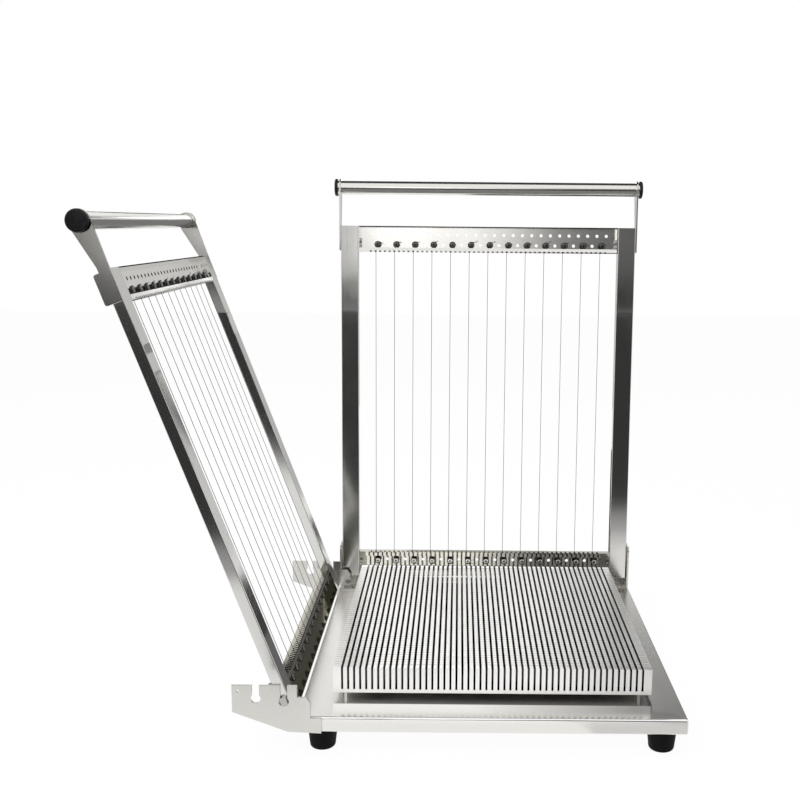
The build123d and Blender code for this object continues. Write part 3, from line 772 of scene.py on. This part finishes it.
class CUTTER_OT_windings(bpy.types.Operator):
    """Wind the ends of every wire round its two screws and leave a short free end"""

    bl_idname = "cutter.windings"
    bl_label = "Wire windings"

    def execute(self, context):
        for name in FRAME_NAMES:
            for row, sense, seed in (("tension", -1.0, 23), ("anchor", 1.0, 11)):
                points, quads, ends = self.winding(name, row, sense, seed)
                faces = quads.tolist() + ends.tolist()
                new_piece(f"{name}_{row}_windings", from_frame(name, points), faces, metal(WIRE_STEEL),
                          name + "_frame", sharp_angle=60)
        return {"FINISHED"}

    def winding(self, name, row, sense, seed):
        """Turns (R cos a, y, R sin a) about each screw: tight ones behind its head, then a loose one.

        A free end runs on from the last turn and bends away by chance.
        """
        sizes = settings("wires")
        count, wire, head = sizes.wire_count, sizes.wire_diameter, sizes.head_diameter
        turn_steps, tail_steps, sides = 110, 13, 6
        tight_share, opening_share, clearance = 0.5, 0.15, 0.05 * MM
        shortest, longest, most_bend, bend_share = 0.6, 1.3, 0.8, np.array([1.0, 0.2, 1.0])
        low, high = frame_box(name, f"{name}_{row}_screws")
        tight = (sizes.shank_diameter + wire) / 2 + clearance
        loose = (head + wire) / 2 + sizes.loose_turn
        step = np.linspace(0, 1, turn_steps)
        angle = pi + sense * 2 * pi * sizes.turns * step
        opened = np.clip((step - tight_share) / opening_share, 0, 1)
        opened = opened * opened * (3 - 2 * opened)
        radius = tight + (loose - tight) * opened
        behind = sizes.winding_depth * np.minimum(step / tight_share, 1)
        beside = low[1] + wire * (0.5 + (1 - step) * sizes.turns)
        depth = behind * (1 - opened) + beside * opened
        turns = np.stack([radius * np.cos(angle), depth, radius * np.sin(angle)], axis=-1)
        chance = np.random.default_rng(seed)
        away = np.array([-sense * np.sin(angle[-1]), 0.0, sense * np.cos(angle[-1])])
        reach = np.linspace(0, 1, tail_steps)[None, 1:, None]
        tail_length = sizes.tail_length * chance.uniform(shortest, longest, (count, 1, 1))
        bend = chance.uniform(-most_bend, most_bend, (count, 1, 3)) * bend_share
        tails = turns[-1] + tail_length * (away * reach + bend * reach ** 2)
        paths = np.concatenate([np.broadcast_to(turns, (count, *turns.shape)), tails], axis=1)
        return tubes(paths + screw_places(low, high, 0.0)[:, None], wire / 2, sides)


class CUTTER_OT_screws(bpy.types.Operator):
    """Turn the pan-head screws that hold the wires, each with the painted shade of a cross recess on its head
    """

    bl_idname = "cutter.screws"
    bl_label = "Wire screws"

    def execute(self, context):
        for name in FRAME_NAMES:
            for row in ("tension", "anchor"):
                self.row_of_screws(name, row)
        return {"FINISHED"}

    def row_of_screws(self, name, row):
        """Pan head and shank turned about the frame's Y, repeated along its X."""
        sizes = settings("wires")
        count, head, height, shank = (sizes.wire_count, sizes.head_diameter / 2, sizes.head_height,
                                      sizes.shank_diameter / 2)
        dome_share, flat_share, dome_steps, sides = 0.62, 0.55, 7, 20
        dome_height = height * dome_share
        node = f"{name}_{row}_screws"
        low, high = frame_box(name, node)
        end = high[1] - low[1]
        bulge = np.linspace(0, pi / 2, dome_steps)
        dome = dome_height * np.stack([np.sin(bulge) - 1, 1 - np.cos(bulge)], axis=-1) + [head, 0.0]
        profile = np.concatenate([
            [[0.0, 0.0]], dome[:1] * [flat_share, 1.0], dome, [[head, height]], [[shank, height]],
            [[shank, end]], [[0.0, end]]])
        points, quads = lathe(profile, sides)
        upright = points[:, [0, 2, 1]]
        screws = (upright[None] + screw_places(low, high, low[1])[:, None]).reshape(-1, 3)
        piece = new_piece(f"{name}_{row}_pan_screws", from_frame(name, screws),
                          repeated(len(points), quads, count), recess_shade_steel(row), name + "_frame",
                          sharp_angle=40)
        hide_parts(node)
        self.map_heads(piece, points, head, dome_height, count)

    def map_heads(self, piece, points, head, dome_height, count):
        """Flat map of each head, (x, z) over its diameter plus a half, and all else far off the recess."""
        off_map = 2.0
        across = np.where(points[:, 2:] < dome_height, points[:, :2] / head * 0.5 + 0.5, off_map)
        corners = np.empty(len(piece.data.loops), int)
        piece.data.loops.foreach_get("vertex_index", corners)
        layer = piece.data.uv_layers.new(name="head")
        layer.data.foreach_set("uv", np.tile(across, (count, 1))[corners].ravel())


# Studio


def wall(y, *corners):
    """Upright card through corners of (x, z)."""
    return [(x, y, z) for x, z in corners]


def level(z, *corners):
    """Level card through corners of (x, y)."""
    return [(x, y, z) for x, y in corners]


def screen(y, left, right, low, high):
    """Upright oblong card from side to side."""
    return wall(y, (left, low), (right, low), (right, high), (left, high))


def mat(z, left, right, near, far):
    """Level oblong card."""
    return level(z, (left, near), (right, near), (right, far), (left, far))


def flank(x, near, far, low, high):
    """Upright oblong card from front to back."""
    return [(x, near, low), (x, near, high), (x, far, high), (x, far, low)]


# Places of the cards that stand or lie far off, and of the gap between base and bed
FRONT, BACK, GROUND = -2.3, 2.2, 3 * MM
GAP_LOW, GAP_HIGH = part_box("base_pan")[1][2] + 0.1 * MM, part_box("cutting_bed")[0][2]
# Name, corners and shade of each card that shows from both sides. A shade is one strength, or a strength at
# the left, one at the right and the two places along X between which it changes.
CARDS = (
    # In front of the machine
    ("front", wall(FRONT, (-1.9, 0), (1.9, 0), (1.9, 0.62), (-0.45, 0.62), (-0.45, 0.51), (-0.98, 0.51),
                   (-0.98, 0.5), (-1.9, 0.5)), 0.045),
    ("near_plate", screen(FRONT, -1.9, -0.98, 0.5, 1.2), 0.17),
    ("far_plate", screen(FRONT, -0.98, -0.6, 0.51, 1.2), 1.3),
    ("arm_top", screen(FRONT, -0.45, -0.31, 0.62, 1.1), 0.5),
    ("bright", screen(FRONT, -0.31, -0.04, 0.62, 1.4), 1.7),
    ("bar", screen(FRONT, -0.04, 1.9, 0.62, 1.3), (1.25, 0.15, 0.17, 0.5)),
    # On the floor
    ("floor", level(GROUND, (-1.9, FRONT), (1.9, FRONT), (1.9, -0.65), (0.25, -0.65), (0.08, -0.5),
                    (-0.19, -0.5), (-0.25, -0.8), (-0.31, -1.03), (-0.36, -1.1), (-1.9, -1.1)), 0.045),
    ("right_floor", mat(GROUND, 0.25, 1.9, -0.65, -0.4), 0.42),
    ("right_skirt", mat(GROUND, 0.25, 1.9, -0.4, -0.27), 0.74),
    ("bed_front", mat(2 * GROUND, -0.115, 0.37, -0.45, -0.362), (1.3, 0.95, 0.1, 0.4)),
    ("near_arm", level(GROUND, (-0.7, -1.1), (-0.36, -1.1), (-0.31, -1.03), (-0.27, -0.88), (-0.7, -0.88)),
     0.4),
    ("rear_floor", mat(GROUND, 0.1, 0.7, 0.45, 1.5), 0.03),
    ("left_floor", mat(GROUND, -0.9, -0.2, 1.4, 2.1), 0.03),
    # Behind the machine
    ("bed", screen(BACK, -0.3, 2.6, 0.76, 1.19), (2.0, 0.3, 0.33, 0.75)),
    ("base", wall(BACK, (-0.5, 1.19), (2.6, 1.19), (2.6, 2.2), (0.4, 2.2), (0.4, 1.36), (-0.5, 1.36)),
     (0.9, 0.12, -0.35, 0.8)),
    ("right_fold", screen(BACK, 1.1, 2.6, 0, 0.76), 0.1),
    ("left_tube", screen(BACK, -1.35, -0.7, 0.6, 1.25), 0.03),
    ("far_arm", wall(BACK, (-0.1, 0), (0.5, 0), (0.42, 0.5), (0.35, 0.75), (-0.1, 0.75)), 0.55),
    ("inner_face", wall(BACK, (0.5, 0), (1.1, 0), (1.1, 0.65), (0.38, 0.65), (0.42, 0.5)), 0.75),
    # Round the handle tubes
    ("back_tube", screen(0.42, -0.2, 0.6, 0.74, 1.1), 0.05),
    ("over_tube", mat(1.1, -0.2, 0.6, 0.2, 0.42), 0.05),
    ("under_tube", mat(0.5, -0.2, 0.45, -0.25, 0.2), 0.22),
    ("under_left_tube", mat(0.5, -0.5, -0.22, -0.25, 0.2), 0.3),
    # Round the bed and in the gap below it
    ("rear_gap", screen(0.1765, -0.08, 0.32, 0.0605, 0.094), (1.5, 0.3, 0.09, 0.21)),
    ("rear_pan", screen(0.262, -0.1, 0.34, 0.0468, 0.0605), 0.05),
    ("front_gap", screen(-0.224, -0.078, 0.32, GAP_LOW, GAP_HIGH), (1.05, 0.36, 0.09, 0.3)),
    ("gap_end", flank(0.3215, -0.2225, 0.1755, GAP_LOW, GAP_HIGH), 0.07),
)
# The same for each card that shows from one side and is clear from the other
ONE_SIDED_CARDS = (
    ("under_bed", level(0.0612, (-0.08, -0.206), (-0.08, -0.19), (0.32, -0.19), (0.32, -0.206)),
     (0.3, 0.17, -0.08, 0.32)),
    ("inner_arm", flank(-0.11, -0.2, -0.04, 0.07, 0.165), 0.06),
    ("left_top", flank(-0.25, -0.3, 0.52, 0.475, 0.71), 0.66),
    ("left_corner", flank(-0.25, 0.52, 0.75, 0.475, 0.71), 0.1),
    ("left_tube_side", flank(-0.335, -0.27, 0.3, 0.605, 0.644), 0.2),
    ("left_bar", flank(-0.117, -0.24, 0.2, 0.0467, 0.13), 0.16),
)
# The card that stands for the bed's rear face
STRIPED_CARD = "rear_gap"


class CUTTER_OT_stage(bpy.types.Operator):
    """Set up the pale floor, the lamps, the light and dark cards that the steel mirrors, and the camera"""

    bl_idname = "cutter.stage"
    bl_label = "Studio"

    def execute(self, context):
        studio = settings("studio")
        context.scene.view_settings.view_transform = "Standard"
        self.world(context.scene, studio)
        self.floor(studio)
        self.lamp("Key", place=(-1.5, -1.5, 2.0), size=1.4, power=studio.key_power)
        self.lamp("Fill", place=(1.9, -1.0, 1.4), size=1.2, power=studio.fill_power)
        self.lamp("Top", place=(0.1, 0.4, 2.3), size=1.8, power=studio.top_power)
        for cards, one_sided in ((CARDS, False), (ONE_SIDED_CARDS, True)):
            for name, corners, shade in cards:
                self.card(name, corners, shade, one_sided)
        self.camera(context.scene, studio)
        return {"FINISHED"}

    def white_rays(self, tree):
        """1 where a ray comes from the camera, a mirror or glass, so that these see the plain white."""
        rays = add(tree, "LightPath", (-800, 200)).outputs
        first = add(tree, "Math", (-560, 200), {0: rays["Is Camera Ray"], 1: rays["Is Glossy Ray"]},
                    operation="MAXIMUM")
        second = add(tree, "Math", (-380, 200), {0: first.outputs[0], 1: rays["Is Transmission Ray"]},
                     operation="MAXIMUM")
        return second.outputs[0]

    def world(self, scene, studio):
        """Even light from all round, which shows as plain white."""
        scene.world = bpy.data.worlds.new("Studio")
        scene.world.use_nodes = True
        tree = scene.world.node_tree
        even = tree.nodes["Background"]
        fill(even, {"Color": WHITE, "Strength": studio.ambient})
        white = add(tree, "Background", (-200, -200), {"Color": WHITE})
        mix = add(tree, "MixShader", (60, 0), {"Fac": self.white_rays(tree), 1: even.outputs["Background"],
                                               2: white.outputs["Background"]})
        fill(tree.nodes["World Output"], {"Surface": mix.outputs["Shader"]})

    def flat_sheet(self, name, corners, finish):
        """One flat face of the stage."""
        mesh = bpy.data.meshes.new(name)
        mesh.from_pydata(corners, [], [list(range(len(corners)))])
        mesh.materials.append(finish)
        sheet = new_object(name, mesh)
        return sheet

    def floor(self, studio):
        """Wide flat sheet at the height that the feet stand on."""
        reach = 6.0
        made, tree, shader = new_material("floor paper")
        fill(shader, {"Base Color": (*studio.floor, 1.0), "Roughness": 0.9, "Specular IOR Level": 0.0})
        glow = add(tree, "Emission", (0, -260))
        share = add(tree, "Math", (0, 260), {0: self.white_rays(tree), 1: studio.floor_glow},
                    operation="MULTIPLY")
        mix = add(tree, "MixShader", (260, 0), {"Fac": share.outputs[0], 1: shader.outputs["BSDF"],
                                                2: glow.outputs["Emission"]})
        fill(tree.nodes["Material Output"], {"Surface": mix.outputs["Shader"]})
        self.flat_sheet("floor", mat(0.0, -reach, reach, -reach, reach), made)

    def lamp(self, name, place, size, power):
        """Square soft lamp that points at the middle of the machine."""
        data = bpy.data.lights.new(name, "AREA")
        data.size = size
        data.energy = power
        lamp = new_object(name, data)
        lamp.location = place
        aim = (CAD_LOW + CAD_HIGH) / 2 - lamp.location
        lamp.rotation_euler = aim.to_track_quat("-Z", "Y").to_euler()
        lamp.visible_glossy = False

    def card(self, name, corners, shade, one_sided):
        """Flat card that only mirrors see, which gives the steel its light and dark bands."""
        made, tree, shader = new_material(name + "_card paint")
        tree.nodes.remove(shader)
        if isinstance(shade, tuple):
            shade = self.fading(tree, *shade, name == STRIPED_CARD)
        glow = add(tree, "Emission", (0, 0), {"Strength": shade})
        seen = glow.outputs["Emission"]
        if one_sided:
            face = add(tree, "NewGeometry", (0, 200))
            clear = add(tree, "BsdfTransparent", (0, -160))
            choice = add(tree, "MixShader", (200, 0), {"Fac": face.outputs["Backfacing"], 1: seen,
                                                       2: clear.outputs["BSDF"]})
            seen = choice.outputs["Shader"]
        fill(tree.nodes["Material Output"], {"Surface": seen})
        card = self.flat_sheet(name + "_card", corners, made)
        for ray in ("camera", "diffuse", "shadow", "transmission"):
            setattr(card, "visible_" + ray, False)

    def fading(self, tree, left, right, start, end, striped):
        """Strength that changes along X, and is none where a long slot of the bed ends if it is striped.

        The slots lie k pitches from the bed's middle.
        """
        place = add(tree, "TexCoord", (-600, 0))
        along = add(tree, "SeparateXYZ", (-420, 0), {"Vector": place.outputs["Object"]}).outputs["X"]
        fade = add(tree, "MapRange", (-240, 0),
                   {"Value": along, "From Min": start, "From Max": end, "To Min": left, "To Max": right})
        if not striped:
            return fade.outputs["Result"]
        bed = settings("bed")
        low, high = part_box("cutting_bed")
        for operation, value in (("SUBTRACT", (low[0] + high[0]) / 2), ("PINGPONG", bed.slot_pitch / 2),
                                 ("GREATER_THAN", bed.slot_width / 2), ("MULTIPLY", fade.outputs["Result"])):
            along = add(tree, "Math", (-240, -300), {0: along, 1: value}, operation=operation).outputs[0]
        return along

    def camera(self, scene, studio):
        """Camera that looks along +Y, tilted, then rolled about its line of sight."""
        yaw, pitch, roll = studio.camera_yaw, studio.camera_pitch, studio.camera_roll
        forward = Vector((sin(yaw) * cos(pitch), cos(yaw) * cos(pitch), -sin(pitch)))
        across = Vector((cos(yaw), -sin(yaw), 0.0))
        down = forward.cross(across)
        right = cos(roll) * across + sin(roll) * down
        up = sin(roll) * across - cos(roll) * down
        data = bpy.data.cameras.new("Camera")
        data.sensor_width = 36.0
        data.lens = studio.lens
        data.shift_x = studio.shift_x
        data.clip_end = 50.0
        camera = new_object("Camera", data)
        turned = Matrix((right, up, -forward)).transposed().to_4x4()
        camera.matrix_world = Matrix.Translation(studio.camera_place) @ turned
        scene.camera = camera


class CUTTER_PT_panel(bpy.types.Panel):
    """Lists the steps that dress the cutter"""

    bl_idname = "CUTTER_PT_panel"
    bl_label = "Guitar cutter"
    bl_space_type = "VIEW_3D"
    bl_region_type = "UI"
    bl_category = "Cutter"

    def draw(self, context):
        for operator in OPERATORS:
            self.layout.operator(operator.bl_idname)
        for name in SETTINGS:
            group = settings(name)
            for key in group.bl_rna.properties.keys():
                if key not in ("rna_type", "name"):
                    self.layout.prop(group, key)


SETTINGS = {
    "bed": CutterBedSettings,
    "sheet": CutterSheetSettings,
    "wires": CutterWireSettings,
    "finishes": CutterFinishSettings,
    "studio": CutterStudioSettings,
}
OPERATORS = (CUTTER_OT_bed, CUTTER_OT_base, CUTTER_OT_frames, CUTTER_OT_windings, CUTTER_OT_screws,
             CUTTER_OT_stage)


def register():
    for name, group in SETTINGS.items():
        bpy.utils.register_class(group)
        setattr(bpy.types.Scene, "cutter_" + name, bpy.props.PointerProperty(type=group))
    for operator in OPERATORS:
        bpy.utils.register_class(operator)
    bpy.utils.register_class(CUTTER_PT_panel)


def unregister():
    bpy.utils.unregister_class(CUTTER_PT_panel)
    for operator in reversed(OPERATORS):
        bpy.utils.unregister_class(operator)
    for name, group in SETTINGS.items():
        delattr(bpy.types.Scene, "cutter_" + name)
        bpy.utils.unregister_class(group)


def main():
    """Registers the classes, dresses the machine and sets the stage."""
    register()
    bpy.ops.cutter.bed()
    bpy.ops.cutter.base()
    bpy.ops.cutter.frames()
    bpy.ops.cutter.windings()
    bpy.ops.cutter.screws()
    bpy.ops.cutter.stage()


if __name__ == "__main__":
    main()
